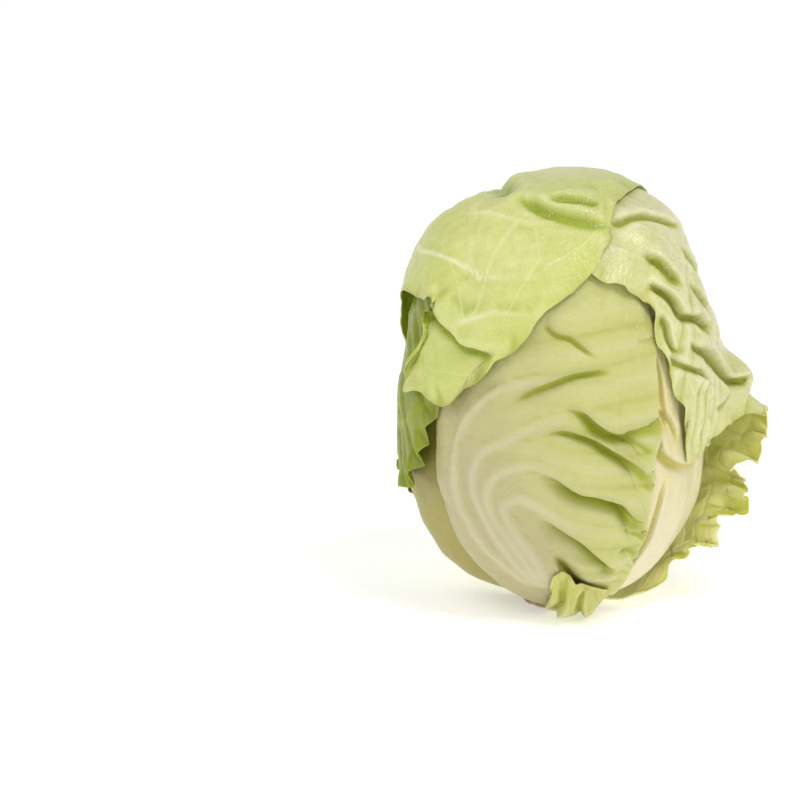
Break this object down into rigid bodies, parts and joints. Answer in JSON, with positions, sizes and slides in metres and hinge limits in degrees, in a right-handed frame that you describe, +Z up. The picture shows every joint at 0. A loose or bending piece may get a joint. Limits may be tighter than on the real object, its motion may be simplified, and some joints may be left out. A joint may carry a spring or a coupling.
{
  "type": "cabbage head",
  "caption": "Whole upright head of green cabbage with wrapped, folded and frilled outer leaves, standing on its cut stump.",
  "frame": {"origin": "centre of the stump's cut face, which the head stands on", "axes": "+Z up along the head from stump to crown, -Y towards the large pale front leaf, +X towards the frilled right leaf"},
  "size_m": [0.1708, 0.1428, 0.1985],
  "materials": {
    "green_leaf": "waxy fresh leaf, yellow-green",
    "pale_leaf": "waxy fresh leaf, cream to pale green",
    "heart_leaf": "satin inner leaf, cream yellow",
    "stump_cut": "dry cut stem, off-white with browned edge"
  },
  "bodies": {
    "root": {"stump": "stump_cut", "heart": "heart_leaf", "left_leaf": "pale_leaf", "inner_leaf": "heart_leaf", "front_leaf": "pale_leaf", "base_leaf": "pale_leaf", "shoulder_leaf": "green_leaf", "right_leaf": "green_leaf", "crown_right_leaf": "green_leaf", "crown_leaf": "green_leaf"}
  },
  "joints": []
}
